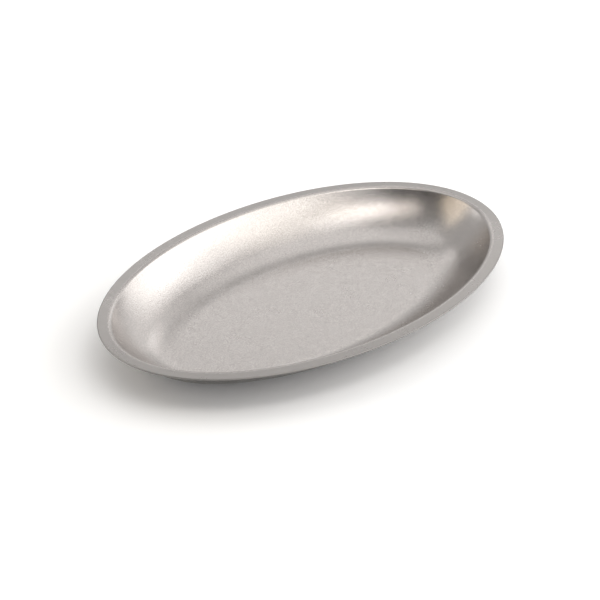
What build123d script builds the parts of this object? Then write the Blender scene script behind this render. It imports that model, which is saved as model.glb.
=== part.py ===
from build123d import *
import math
import os

# An oval serving dish, drawn in one piece from sheet metal. Millimetres, +Z up.
# The origin is on the underside of the floor, at the middle of the oval; the long axis lies on X.

# The oval
LENGTH = 240.0              # over the rim, along X
WIDTH = 151.2               # over the rim, along Y
HEIGHT = 21.0               # from the underside of the floor to the top of the rim
SHEET = 0.8                 # thickness of the metal, the same everywhere

# The section through the sheet, from the rim down to the floor. Angles are slopes from level.
RIM_FLAT = 5.2              # level rim, from the trimmed edge to the start of the shoulder
SHOULDER_RADIUS = 2.5       # upper face of the bend from the rim into the wall
WALL_TOP_SLOPE = 55.0       # slope of the wall just under the shoulder
WALL_FOOT_SLOPE = 35.0      # slope of the wall where it runs into the corner of the floor
CORNER_RADIUS = 28.0        # upper face of the bend from the wall into the floor


def section():
    """One closed face across the sheet in the XZ plane, from the rim's edge to the floor."""
    rim_level = HEIGHT                      # upper face of the rim
    edge_radius = SHEET / 2                 # the trimmed edge is fully rounded
    rim_start = LENGTH / 2 - edge_radius
    shoulder_start = LENGTH / 2 - RIM_FLAT
    top = math.radians(WALL_TOP_SLOPE)
    foot = math.radians(WALL_FOOT_SLOPE)

    # What the shoulder and the corner leave of the depth is the drop of the wall, a shallow arc.
    depth = HEIGHT - SHEET
    shoulder_drop = SHOULDER_RADIUS * (1 - math.cos(top))
    corner_drop = CORNER_RADIUS * (1 - math.cos(foot))
    wall_drop = depth - shoulder_drop - corner_drop
    wall_radius = wall_drop / (math.cos(foot) - math.cos(top))

    # Centres of the three bends. The shoulder bends one way, the wall and the corner the other.
    shoulder_centre = (shoulder_start, rim_level - SHOULDER_RADIUS)
    reach = SHOULDER_RADIUS + wall_radius
    wall_centre = (
        shoulder_centre[0] - reach * math.sin(top),
        shoulder_centre[1] + reach * math.cos(top),
    )
    inward = wall_radius - CORNER_RADIUS
    corner_centre = (
        wall_centre[0] + inward * math.sin(foot),
        wall_centre[1] - inward * math.cos(foot),
    )

    def on_shoulder(radius, slope):
        return (
            shoulder_centre[0] - radius * math.sin(slope),
            shoulder_centre[1] + radius * math.cos(slope),
        )

    def on_bowl(centre, radius, slope):
        return (
            centre[0] + radius * math.sin(slope),
            centre[1] - radius * math.cos(slope),
        )

    def face_of_sheet(below):
        """Points along one face of the sheet, which lies `below` the upper face."""
        shoulder = SHOULDER_RADIUS - below
        wall = wall_radius + below
        corner = CORNER_RADIUS + below
        middle = (top + foot) / 2
        return [
            (rim_start, rim_level - below),
            (shoulder_start, rim_level - below),
            on_shoulder(shoulder, top / 2),
            on_shoulder(shoulder, top),
            on_bowl(wall_centre, wall, middle),
            on_bowl(wall_centre, wall, foot),
            on_bowl(corner_centre, corner, foot / 2),
            on_bowl(corner_centre, corner, 0.0),
        ]

    upper = face_of_sheet(0.0)
    under = face_of_sheet(SHEET)
    with BuildSketch(Plane.XZ) as sketch:
        with BuildLine():
            for face in (upper, under):
                Line(face[0], face[1])
                ThreePointArc(face[1], face[2], face[3])
                ThreePointArc(face[3], face[4], face[5])
                ThreePointArc(face[5], face[6], face[7])
            edge_middle = (LENGTH / 2, rim_level - edge_radius)
            ThreePointArc(upper[0], edge_middle, under[0])
            Line(upper[-1], under[-1])
        make_face()
    return sketch.sketch.face()


def mouth():
    """The true ellipse that the rim and the wall keep a constant distance from."""
    start = LENGTH / 2 - RIM_FLAT
    side = WIDTH / 2 - RIM_FLAT
    return Edge.make_ellipse(start, side, Plane.XY.offset(HEIGHT))


def dish():
    """The rim and wall, swept once round the oval, and the flat floor that fills them."""
    wall = sweep(section(), path=mouth())
    # The section ends in the upright face where the corner meets the floor: the narrowest face.
    floor_edge = wall.faces().sort_by(lambda face: face.bounding_box().size.X)[0]
    outline = Wire(floor_edge.edges().sort_by(Axis.Z)[0])
    floor = extrude(Face(outline), amount=SHEET, dir=(0, 0, 1))
    return wall + floor


os.makedirs("parts", exist_ok=True)
export_step(dish(), "parts/dish.step")
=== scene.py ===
import math

import bpy
from mathutils import Matrix, Vector


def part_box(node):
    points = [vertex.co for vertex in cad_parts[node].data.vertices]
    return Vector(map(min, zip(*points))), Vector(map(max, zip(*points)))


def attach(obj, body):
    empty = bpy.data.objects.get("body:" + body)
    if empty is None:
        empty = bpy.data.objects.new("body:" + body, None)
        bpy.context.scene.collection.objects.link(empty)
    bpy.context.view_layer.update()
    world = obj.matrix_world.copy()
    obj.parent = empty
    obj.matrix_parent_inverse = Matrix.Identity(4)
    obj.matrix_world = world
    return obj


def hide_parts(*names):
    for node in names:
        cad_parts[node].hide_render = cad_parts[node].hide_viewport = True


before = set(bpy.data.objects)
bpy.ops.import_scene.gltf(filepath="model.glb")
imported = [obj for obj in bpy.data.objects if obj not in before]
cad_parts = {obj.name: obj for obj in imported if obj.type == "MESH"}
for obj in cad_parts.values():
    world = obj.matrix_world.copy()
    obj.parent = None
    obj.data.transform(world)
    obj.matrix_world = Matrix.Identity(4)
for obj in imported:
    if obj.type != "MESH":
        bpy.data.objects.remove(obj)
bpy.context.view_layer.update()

# ---------------------------------------------------------------------------------------------
# The dish: one oval pressing, drawn from a single sheet of stainless steel and trimmed to a
# narrow level rim. The section below is the cut through the sheet, and it is carried round the
# ellipse of the mouth at a constant distance, as the press tool does.
# ---------------------------------------------------------------------------------------------
dish_low, dish_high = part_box("dish")
HALF_LENGTH = dish_high[0]
HALF_WIDTH = dish_high[1]
RIM_LEVEL = dish_high[2]
MM = HALF_LENGTH / 120.0            # one millimetre of the dish at the size it is stored
SHEET = 0.8 * MM
RIM_FLAT = 5.2 * MM
SHOULDER_RADIUS = 2.5 * MM
CORNER_RADIUS = 28.0 * MM
WALL_TOP_SLOPE = math.radians(55.0)
WALL_FOOT_SLOPE = math.radians(35.0)
EDGE_DROP = 0.25 * MM               # the rim springs back this far below level at its edge
AROUND = 360                        # facets round the oval
UPPER_SPANS = (8, 14, 36, 30)       # rows along the rim's flat, the shoulder, wall and corner
UNDER_SPANS = (5, 8, 20, 18)
FLOOR_SPANS = 22
EDGE_SPANS = 10


def sheet_face(below, spans):
    """One face of the sheet from the rim's edge to the floor, as (inset from the mouth, height).

    `below` is the distance under the upper face. `spans` are the rows along the rim's flat, the
    shoulder, the wall and the corner."""
    flat_spans, shoulder_spans, wall_spans, corner_spans = spans
    shoulder_drop = SHOULDER_RADIUS * (1 - math.cos(WALL_TOP_SLOPE))
    corner_drop = CORNER_RADIUS * (1 - math.cos(WALL_FOOT_SLOPE))
    wall_drop = RIM_LEVEL - SHEET - shoulder_drop - corner_drop
    wall_radius = wall_drop / (math.cos(WALL_FOOT_SLOPE) - math.cos(WALL_TOP_SLOPE))

    shoulder_centre = (0.0, RIM_LEVEL - SHOULDER_RADIUS)
    reach = SHOULDER_RADIUS + wall_radius
    wall_centre = (
        reach * math.sin(WALL_TOP_SLOPE),
        shoulder_centre[1] + reach * math.cos(WALL_TOP_SLOPE),
    )
    inward = wall_radius - CORNER_RADIUS
    corner_centre = (
        wall_centre[0] - inward * math.sin(WALL_FOOT_SLOPE),
        wall_centre[1] - inward * math.cos(WALL_FOOT_SLOPE),
    )

    points = []
    for i in range(flat_spans):
        share = 1 - i / flat_spans
        points.append((-(RIM_FLAT - SHEET / 2) * share, RIM_LEVEL - below - EDGE_DROP * share))
    for i in range(shoulder_spans):
        slope = WALL_TOP_SLOPE * i / shoulder_spans
        radius = SHOULDER_RADIUS - below
        points.append((
            shoulder_centre[0] + radius * math.sin(slope),
            shoulder_centre[1] + radius * math.cos(slope),
        ))
    for i in range(wall_spans):
        slope = WALL_TOP_SLOPE + (WALL_FOOT_SLOPE - WALL_TOP_SLOPE) * i / wall_spans
        radius = wall_radius + below
        points.append((
            wall_centre[0] - radius * math.sin(slope),
            wall_centre[1] - radius * math.cos(slope),
        ))
    for i in range(corner_spans + 1):
        slope = WALL_FOOT_SLOPE * (1 - i / corner_spans)
        radius = CORNER_RADIUS + below
        points.append((
            corner_centre[0] - radius * math.sin(slope),
            corner_centre[1] - radius * math.cos(slope),
        ))
    return points


def section():
    """The whole section, from the middle of the inside floor over the rim to the underside's
    middle, as (inset from the mouth, share of the oval, height)."""
    upper = sheet_face(0.0, UPPER_SPANS)
    under = sheet_face(SHEET, UNDER_SPANS)
    edge_level = RIM_LEVEL - EDGE_DROP - SHEET / 2
    rows = []
    for i in range(FLOOR_SPANS):
        rows.append((upper[-1][0], i / FLOOR_SPANS, upper[-1][1]))
    rows += [(inset, 1.0, height) for inset, height in reversed(upper)]
    for i in range(1, EDGE_SPANS):
        turn = math.pi * i / EDGE_SPANS
        out = RIM_FLAT - SHEET / 2 + SHEET / 2 * math.sin(turn)
        rows.append((-out, 1.0, edge_level + SHEET / 2 * math.cos(turn)))
    rows += [(inset, 1.0, height) for inset, height in under]
    for i in range(1, FLOOR_SPANS + 1):
        rows.append((under[-1][0], 1 - i / FLOOR_SPANS, under[-1][1]))
    return rows


def add_node(tree, kind, **settings):
    node = tree.nodes.new(kind)
    for name, value in settings.items():
        setattr(node, name, value)
    return node


def maths(tree, operation, *inputs):
    """A Math node on two or three inputs, each a number or the output of another node."""
    node = add_node(tree, "ShaderNodeMath", operation=operation)
    for socket, value in zip(node.inputs, inputs):
        if isinstance(value, bpy.types.NodeSocket):
            tree.links.new(value, socket)
        else:
            socket.default_value = value
    return node.outputs[0]


RIPPLE_SEED = 7.0
RIPPLE_ROOM = 0.1                   # the largest share of the ripple's height that is let through
WELD = 1e-6                         # points closer than this are one


def carry_round():
    """Geometry Nodes tree that carries the rows of a section round the ellipse of the mouth."""
    tree = bpy.data.node_groups.new("section_round_oval", "GeometryNodeTree")
    face = tree.interface
    face.new_socket("Section", in_out="INPUT", socket_type="NodeSocketGeometry")
    sizes = ("Mouth half length", "Mouth half width", "Rim level", "Ripple height", "Ripple scale")
    for name in sizes:
        face.new_socket(name, in_out="INPUT", socket_type="NodeSocketFloat")
    for name in ("Facets round", "Rows"):
        face.new_socket(name, in_out="INPUT", socket_type="NodeSocketInt")
    face.new_socket("Metal", in_out="INPUT", socket_type="NodeSocketMaterial")
    face.new_socket("Dish", in_out="OUTPUT", socket_type="NodeSocketGeometry")
    given = add_node(tree, "NodeGroupInput").outputs
    link = tree.links.new

    # A grid one unit square: its X runs round the oval and its Y along the section.
    grid = add_node(tree, "GeometryNodeMeshGrid")
    link(maths(tree, "ADD", given["Facets round"], 1.0), grid.inputs["Vertices X"])
    link(given["Rows"], grid.inputs["Vertices Y"])
    place = add_node(tree, "ShaderNodeSeparateXYZ")
    link(add_node(tree, "GeometryNodeInputPosition").outputs[0], place.inputs[0])
    turn = maths(tree, "MULTIPLY", maths(tree, "ADD", place.outputs["X"], 0.5), 2 * math.pi)
    last_row = maths(tree, "SUBTRACT", given["Rows"], 1.0)
    along = maths(tree, "ADD", place.outputs["Y"], 0.5)
    row = maths(tree, "ROUND", maths(tree, "MULTIPLY", along, last_row))

    # The row's inset, share and height are read from the section.
    read = add_node(tree, "GeometryNodeSampleIndex", data_type="FLOAT_VECTOR", domain="POINT")
    link(given["Section"], read.inputs["Geometry"])
    link(add_node(tree, "GeometryNodeInputPosition").outputs[0], read.inputs["Value"])
    link(row, read.inputs["Index"])
    inset_share_height = add_node(tree, "ShaderNodeSeparateXYZ")
    link(read.outputs["Value"], inset_share_height.inputs[0])
    inset, share, height = inset_share_height.outputs

    # The ellipse's point and its outward normal at this turn.
    cosine = maths(tree, "COSINE", turn)
    sine = maths(tree, "SINE", turn)
    point = add_node(tree, "ShaderNodeCombineXYZ")
    link(maths(tree, "MULTIPLY", cosine, given["Mouth half length"]), point.inputs["X"])
    link(maths(tree, "MULTIPLY", sine, given["Mouth half width"]), point.inputs["Y"])
    outward = add_node(tree, "ShaderNodeCombineXYZ")
    link(maths(tree, "DIVIDE", cosine, given["Mouth half length"]), outward.inputs["X"])
    link(maths(tree, "DIVIDE", sine, given["Mouth half width"]), outward.inputs["Y"])
    unit = add_node(tree, "ShaderNodeVectorMath", operation="NORMALIZE")
    link(outward.outputs[0], unit.inputs[0])
    step_in = add_node(tree, "ShaderNodeVectorMath", operation="SCALE")
    link(unit.outputs[0], step_in.inputs[0])
    link(inset, step_in.inputs["Scale"])
    on_offset = add_node(tree, "ShaderNodeVectorMath", operation="SUBTRACT")
    link(point.outputs[0], on_offset.inputs[0])
    link(step_in.outputs[0], on_offset.inputs[1])
    shrunk = add_node(tree, "ShaderNodeVectorMath", operation="SCALE")
    link(on_offset.outputs[0], shrunk.inputs[0])
    link(share, shrunk.inputs["Scale"])
    lift = add_node(tree, "ShaderNodeCombineXYZ")
    link(height, lift.inputs["Z"])
    carried = add_node(tree, "ShaderNodeVectorMath", operation="ADD")
    link(shrunk.outputs[0], carried.inputs[0])
    link(lift.outputs[0], carried.inputs[1])

    # The press leaves the sheet very slightly rippled. The ripple dies away at the rim and where
    # the dish stands.
    ripple = add_node(tree, "ShaderNodeTexNoise", noise_dimensions="4D")
    link(carried.outputs[0], ripple.inputs["Vector"])
    link(given["Ripple scale"], ripple.inputs["Scale"])
    ripple.inputs["W"].default_value = RIPPLE_SEED
    ripple.inputs["Detail"].default_value = 0.0
    under_rim = maths(tree, "SUBTRACT", given["Rim level"], height)
    room = maths(tree, "DIVIDE", maths(tree, "MULTIPLY", under_rim, height), given["Rim level"])
    room = maths(tree, "MINIMUM", maths(tree, "DIVIDE", room, given["Rim level"]), RIPPLE_ROOM)
    swing = maths(tree, "MULTIPLY", maths(tree, "SUBTRACT", ripple.outputs["Fac"], 0.5), room)
    nudge = add_node(tree, "ShaderNodeCombineXYZ")
    link(maths(tree, "MULTIPLY", swing, given["Ripple height"]), nudge.inputs["Z"])
    final = add_node(tree, "ShaderNodeVectorMath", operation="ADD")
    link(carried.outputs[0], final.inputs[0])
    link(nudge.outputs[0], final.inputs[1])

    # How far out on the rim each point lies, for the roughness and the painted shade of the rim
    # and its edge. It is stored while the grid is still flat, since the rows are read from its own
    # square.
    mark = add_node(tree, "GeometryNodeStoreNamedAttribute", data_type="FLOAT", domain="POINT")
    mark.inputs["Name"].default_value = "rim_reach"
    link(grid.outputs["Mesh"], mark.inputs["Geometry"])
    link(maths(tree, "MULTIPLY", inset, -1.0), mark.inputs["Value"])
    shape = add_node(tree, "GeometryNodeSetPosition")
    link(mark.outputs[0], shape.inputs["Geometry"])
    link(final.outputs[0], shape.inputs["Position"])
    closed = add_node(tree, "GeometryNodeMergeByDistance")
    link(shape.outputs[0], closed.inputs["Geometry"])
    closed.inputs["Distance"].default_value = WELD
    # Carried round this way, the grid faces into the metal, so its faces are turned outwards.
    outside = add_node(tree, "GeometryNodeFlipFaces")
    link(closed.outputs[0], outside.inputs["Mesh"])
    smooth = add_node(tree, "GeometryNodeSetShadeSmooth")
    link(outside.outputs[0], smooth.inputs["Geometry"])
    real = add_node(tree, "GeometryNodeRealizeInstances")
    link(smooth.outputs[0], real.inputs["Geometry"])
    finish = add_node(tree, "GeometryNodeSetMaterial")
    link(real.outputs[0], finish.inputs["Geometry"])
    link(given["Metal"], finish.inputs["Material"])
    link(finish.outputs[0], add_node(tree, "NodeGroupOutput").inputs[0])
    return tree


def noise(tree, where, scale, detail=2.0, stretch=None, turn=0.0):
    """Noise over the dish's own coordinates, in metres; `stretch` and `turn` make strokes of it."""
    texture = add_node(tree, "ShaderNodeTexNoise")
    texture.inputs["Scale"].default_value = scale
    texture.inputs["Detail"].default_value = detail
    if stretch:
        mapping = add_node(tree, "ShaderNodeMapping")
        mapping.inputs["Rotation"].default_value = (turn, turn / 2, turn)
        mapping.inputs["Scale"].default_value = stretch
        tree.links.new(where, mapping.inputs["Vector"])
        where = mapping.outputs["Vector"]
    tree.links.new(where, texture.inputs["Vector"])
    return texture.outputs["Fac"]


def span(tree, value, low, high, to_low=0.0, to_high=1.0):
    """The value eased from one range to another and held at its ends."""
    node = add_node(tree, "ShaderNodeMapRange", interpolation_type="SMOOTHSTEP")
    tree.links.new(value, node.inputs["Value"])
    for socket, number in zip(node.inputs[1:5], (low, high, to_low, to_high)):
        socket.default_value = number
    return node.outputs["Result"]


def blend(tree, share, first, second):
    """One colour over another by a share."""
    node = add_node(tree, "ShaderNodeMix", data_type="RGBA")
    tree.links.new(share, node.inputs["Factor"])
    for socket, colour in zip((node.inputs[6], node.inputs[7]), (first, second)):
        if isinstance(colour, bpy.types.NodeSocket):
            tree.links.new(colour, socket)
        else:
            socket.default_value = (*colour, 1.0)
    return node.outputs[2]


STEEL = (0.448, 0.421, 0.402)
PALE_STEEL = (0.480, 0.451, 0.430)
ROSY_STEEL = (0.468, 0.432, 0.414)
SPECK = (0.390, 0.366, 0.349)
# Painted shade: the flat of the rim is painted darker, for the dimmer reflection it shows.
RIM_PAINTED_SHADE = (0.338, 0.318, 0.304)
# Painted shade: the underside is painted darker, as the shade under the dish.
UNDERSIDE_PAINTED_SHADE = (0.240, 0.221, 0.208)
SCUFFED_STEEL = (0.340, 0.327, 0.314)
# Painted shade: the rim's rounded edge is painted darker, for the thin dark line of shade along it.
EDGE_PAINTED_SHADE = (0.270, 0.260, 0.250)
# How fine each mark of the finish is, as noise scales over metres.
CLOUD_SCALE = 55.0
MOTTLE_SCALE = 320.0
GRAIN_SCALE = 1500.0
STROKE_SCALE = 420.0
STROKE_SHAPE = (1.0, 9.0, 1.0)      # long and thin
STROKE_TURNS = (0.3, 1.4, 2.5)      # radians, so that the strokes cross
SATIN = 0.215                       # roughness where the finish is smoothest
GRAIN_DEPTH = 0.03 * MM


def tumbled_steel():
    """Stainless steel tumbled with stones: satin, without direction, faintly mottled.

    The flat of the rim is painted a little darker, painted shade for the dimmer reflection it
    shows, and is a little rougher; its edge is painted darker still, painted shade along it, and
    rougher still. The underside is painted darker, painted shade under the dish, and is scuffed
    where the dish stands."""
    metal = bpy.data.materials.new("tumbled_steel")
    metal.use_nodes = True
    tree = metal.node_tree
    shader = tree.nodes["Principled BSDF"]
    shader.inputs["Metallic"].default_value = 1.0
    coordinates = add_node(tree, "ShaderNodeTexCoord")
    where = coordinates.outputs["Object"]
    place = add_node(tree, "ShaderNodeSeparateXYZ")
    tree.links.new(where, place.inputs[0])
    facing = add_node(tree, "ShaderNodeSeparateXYZ")
    tree.links.new(coordinates.outputs["Normal"], facing.inputs[0])
    reach = add_node(tree, "ShaderNodeAttribute", attribute_name="rim_reach").outputs["Fac"]

    cloud = span(tree, noise(tree, where, CLOUD_SCALE, 3.0), 0.35, 0.65)
    mottle = span(tree, noise(tree, where, MOTTLE_SCALE, 2.0), 0.35, 0.65)
    grain = noise(tree, where, GRAIN_SCALE, 3.0)
    speck = span(tree, grain, 0.60, 0.38, 0.0, 0.7)
    strokes = [
        noise(tree, where, STROKE_SCALE, 1.0, STROKE_SHAPE, turn) for turn in STROKE_TURNS
    ]
    nicks = maths(tree, "ADD", maths(tree, "ADD", strokes[0], strokes[1]), strokes[2])
    rim = span(tree, reach, -0.6 * MM, 0.6 * MM)
    edge = span(tree, reach, RIM_FLAT - 0.6 * MM, RIM_FLAT - 0.3 * MM)
    foot = span(tree, place.outputs["Z"], 0.4 * MM, 0.0)
    below = span(tree, facing.outputs["Z"], -0.1, -0.4)

    colour = blend(tree, cloud, STEEL, PALE_STEEL)
    colour = blend(tree, maths(tree, "MULTIPLY", mottle, 0.5), colour, ROSY_STEEL)
    colour = blend(tree, speck, colour, SPECK)
    # The flat of the rim is darkened: painted shade for the dimmer reflection it shows.
    colour = blend(tree, maths(tree, "MULTIPLY", rim, 0.8), colour, RIM_PAINTED_SHADE)
    # Where the surface faces down it is darkened: painted shade under the dish.
    colour = blend(tree, maths(tree, "MULTIPLY", below, 0.8), colour, UNDERSIDE_PAINTED_SHADE)
    colour = blend(tree, maths(tree, "MULTIPLY", foot, 0.5), colour, SCUFFED_STEEL)
    # The rim's rounded edge is darkened: painted shade along it.
    colour = blend(tree, edge, colour, EDGE_PAINTED_SHADE)
    tree.links.new(colour, shader.inputs["Base Color"])

    rough = maths(tree, "MULTIPLY_ADD", cloud, 0.03, SATIN)
    rough = maths(tree, "MULTIPLY_ADD", mottle, 0.03, rough)
    rough = maths(tree, "MULTIPLY_ADD", rim, 0.05, rough)
    rough = maths(tree, "MULTIPLY_ADD", foot, 0.08, rough)
    rough = maths(tree, "MULTIPLY_ADD", edge, 0.15, rough)
    tree.links.new(rough, shader.inputs["Roughness"])

    bump = add_node(tree, "ShaderNodeBump")
    bump.inputs["Distance"].default_value = GRAIN_DEPTH
    tree.links.new(maths(tree, "MULTIPLY_ADD", nicks, 0.5, grain), bump.inputs["Height"])
    tree.links.new(bump.outputs["Normal"], shader.inputs["Normal"])
    return metal


RIPPLE_HEIGHT = 0.8 * MM
RIPPLE_SCALE = 45.0


def press_dish(metal):
    """The section as a row of points, run through the tree and kept as a plain mesh."""
    rows = section()
    line = bpy.data.meshes.new("section")
    line.from_pydata(rows, [(i, i + 1) for i in range(len(rows) - 1)], [])
    maker = bpy.data.objects.new("section", line)
    bpy.context.collection.objects.link(maker)
    tree = carry_round()
    carried = maker.modifiers.new("carry_round", "NODES")
    carried.node_group = tree
    values = {
        "Mouth half length": HALF_LENGTH - RIM_FLAT,
        "Mouth half width": HALF_WIDTH - RIM_FLAT,
        "Rim level": RIM_LEVEL,
        "Ripple height": RIPPLE_HEIGHT,
        "Ripple scale": RIPPLE_SCALE,
        "Facets round": AROUND,
        "Rows": len(rows),
        "Metal": metal,
    }
    for item in tree.interface.items_tree:
        if item.name in values:
            carried[item.identifier] = values[item.name]
    graph = bpy.context.evaluated_depsgraph_get()
    mesh = bpy.data.meshes.new_from_object(maker.evaluated_get(graph))
    mesh.name = "dish_pressing"
    bpy.data.objects.remove(maker)
    dish = bpy.data.objects.new("dish_pressing", mesh)
    bpy.context.collection.objects.link(dish)
    return dish


dish = press_dish(tumbled_steel())
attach(dish, "root")
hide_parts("dish")

# ---------------------------------------------------------------------------------------------
# The camera: a long lens, from the front left, looking down on the dish.
# ---------------------------------------------------------------------------------------------
CAMERA_TURN = math.radians(-44.27)
CAMERA_RISE = math.radians(30.0)
CAMERA_DISTANCE = 1.2
CAMERA_LENS = 142.6
AIM = Vector((0.00413, 0.00899, 0.0))

back = Vector((
    math.sin(CAMERA_TURN) * math.cos(CAMERA_RISE),
    -math.cos(CAMERA_TURN) * math.cos(CAMERA_RISE),
    math.sin(CAMERA_RISE),
))
lens = bpy.data.cameras.new("camera")
lens.lens = CAMERA_LENS
lens.clip_start = 0.05
camera = bpy.data.objects.new("camera", lens)
facing_dish = back.to_track_quat("Z", "Y").to_matrix().to_4x4()
camera.matrix_world = Matrix.Translation(AIM + back * CAMERA_DISTANCE) @ facing_dish
bpy.context.collection.objects.link(camera)
bpy.context.scene.camera = camera
bpy.context.scene.view_settings.view_transform = "Standard"

# ---------------------------------------------------------------------------------------------
# The floor: a plain white table, large enough to have no edge in sight.
# ---------------------------------------------------------------------------------------------
FLOOR_SIZE = 8.0
FLOOR_WHITE = (0.97, 0.97, 0.97, 1.0)
FLOOR_GLOW = 0.06                   # light from a translucent table, which fills the shadow


def pale_floor():
    mesh = bpy.data.meshes.new("floor")
    half = FLOOR_SIZE / 2
    corners = [(-half, -half, 0.0), (half, -half, 0.0), (half, half, 0.0), (-half, half, 0.0)]
    mesh.from_pydata(corners, [], [(0, 1, 2, 3)])
    floor = bpy.data.objects.new("floor", mesh)
    bpy.context.collection.objects.link(floor)
    paint = bpy.data.materials.new("pale_floor")
    paint.use_nodes = True
    shader = paint.node_tree.nodes["Principled BSDF"]
    shader.inputs["Base Color"].default_value = FLOOR_WHITE
    shader.inputs["Roughness"].default_value = 0.8
    shader.inputs["Specular IOR Level"].default_value = 0.1
    shader.inputs["Emission Color"].default_value = (1.0, 1.0, 1.0, 1.0)
    shader.inputs["Emission Strength"].default_value = FLOOR_GLOW
    mesh.materials.append(paint)


pale_floor()

# ---------------------------------------------------------------------------------------------
# The light: a pale surround that is dim behind the camera, and softboxes round the dish. The
# brightest are on the right; a row overhead makes the long highlight of the far wall.
# ---------------------------------------------------------------------------------------------
SURROUND = 0.16                     # brightness of the surround's dim side
SURROUND_GAIN = 0.55                # how much brighter the rest is
DIM_SIDE = (-152.0, 12.0)           # turn and rise of the middle of the dim side, degrees
DIM_INNER = 30.0                    # the dim side is even out to this many degrees
DIM_OUTER = 80.0                    # and gone at this many
# Turn from dead ahead and rise, width and height as seen from the dish (degrees), distance,
# brightness.
LAMPS = {
    "key": (88, 35, 50, 34, 1.2, 1.20),
    "key_low": (75, 20, 50, 34, 1.2, 1.10),
    "key_high": (108, 48, 40, 30, 1.2, 0.52),
    "overhead_right": (135, 66, 34, 14, 1.2, 1.45),
    "overhead": (172, 68, 42, 14, 1.2, 1.55),
    "left": (-90, 35, 34, 28, 1.2, 1.05),
    "left_low": (-86, 12, 64, 16, 1.2, 1.45),
    "ahead": (0, 29, 50, 11, 1.5, 0.88),
    "ahead_right": (42, 24, 45, 32, 1.5, 0.55),
    "ahead_high": (0, 70, 60, 40, 1.5, 0.42),
    "right_high": (60, 66, 50, 24, 1.5, 0.22),
    "behind_right": (140, 30, 40, 40, 1.5, 0.70),
}
WARM = {
    "key_high": (1.0, 0.94, 0.82),
    "left": (1.0, 0.86, 0.66),
    "overhead": (1.0, 0.94, 0.88),
}


def direction(turn, rise):
    """Unit vector to a place round the dish. The turn is clockwise from dead ahead of the camera,
    seen from above, and the rise is over the table; both are in degrees."""
    heading = math.radians(90.0 - turn) + CAMERA_TURN
    level = math.cos(math.radians(rise))
    return Vector((
        math.cos(heading) * level,
        math.sin(heading) * level,
        math.sin(math.radians(rise)),
    ))


def soft_lamp(name, turn, rise, across, down, distance, brightness):
    """A softbox facing the dish. Its power follows its size, so that its face is equally bright
    whatever the size."""
    lamp = bpy.data.lights.new(name, "AREA")
    lamp.shape = "RECTANGLE"
    lamp.size = 2 * distance * math.tan(math.radians(across) / 2)
    lamp.size_y = 2 * distance * math.tan(math.radians(down) / 2)
    lamp.energy = brightness * math.pi * lamp.size * lamp.size_y
    lamp.color = WARM.get(name, (1.0, 1.0, 1.0))
    holder = bpy.data.objects.new(name, lamp)
    towards = direction(turn, rise)
    facing = towards.to_track_quat("Z", "Y").to_matrix().to_4x4()
    holder.matrix_world = Matrix.Translation(towards * distance) @ facing
    bpy.context.collection.objects.link(holder)


def surround():
    world = bpy.data.worlds.new("surround")
    bpy.context.scene.world = world
    world.use_nodes = True
    tree = world.node_tree
    away = add_node(tree, "ShaderNodeVectorMath", operation="DOT_PRODUCT")
    tree.links.new(add_node(tree, "ShaderNodeTexCoord").outputs["Generated"], away.inputs[0])
    away.inputs[1].default_value = direction(*DIM_SIDE)
    edges = (math.cos(math.radians(DIM_OUTER)), math.cos(math.radians(DIM_INNER)))
    light = span(tree, away.outputs["Value"], *edges, SURROUND + SURROUND_GAIN, SURROUND)
    tree.links.new(light, tree.nodes["Background"].inputs["Strength"])
    tree.nodes["Background"].inputs["Color"].default_value = (1.0, 1.0, 1.0, 1.0)


surround()
for name, numbers in LAMPS.items():
    soft_lamp(name, *numbers)
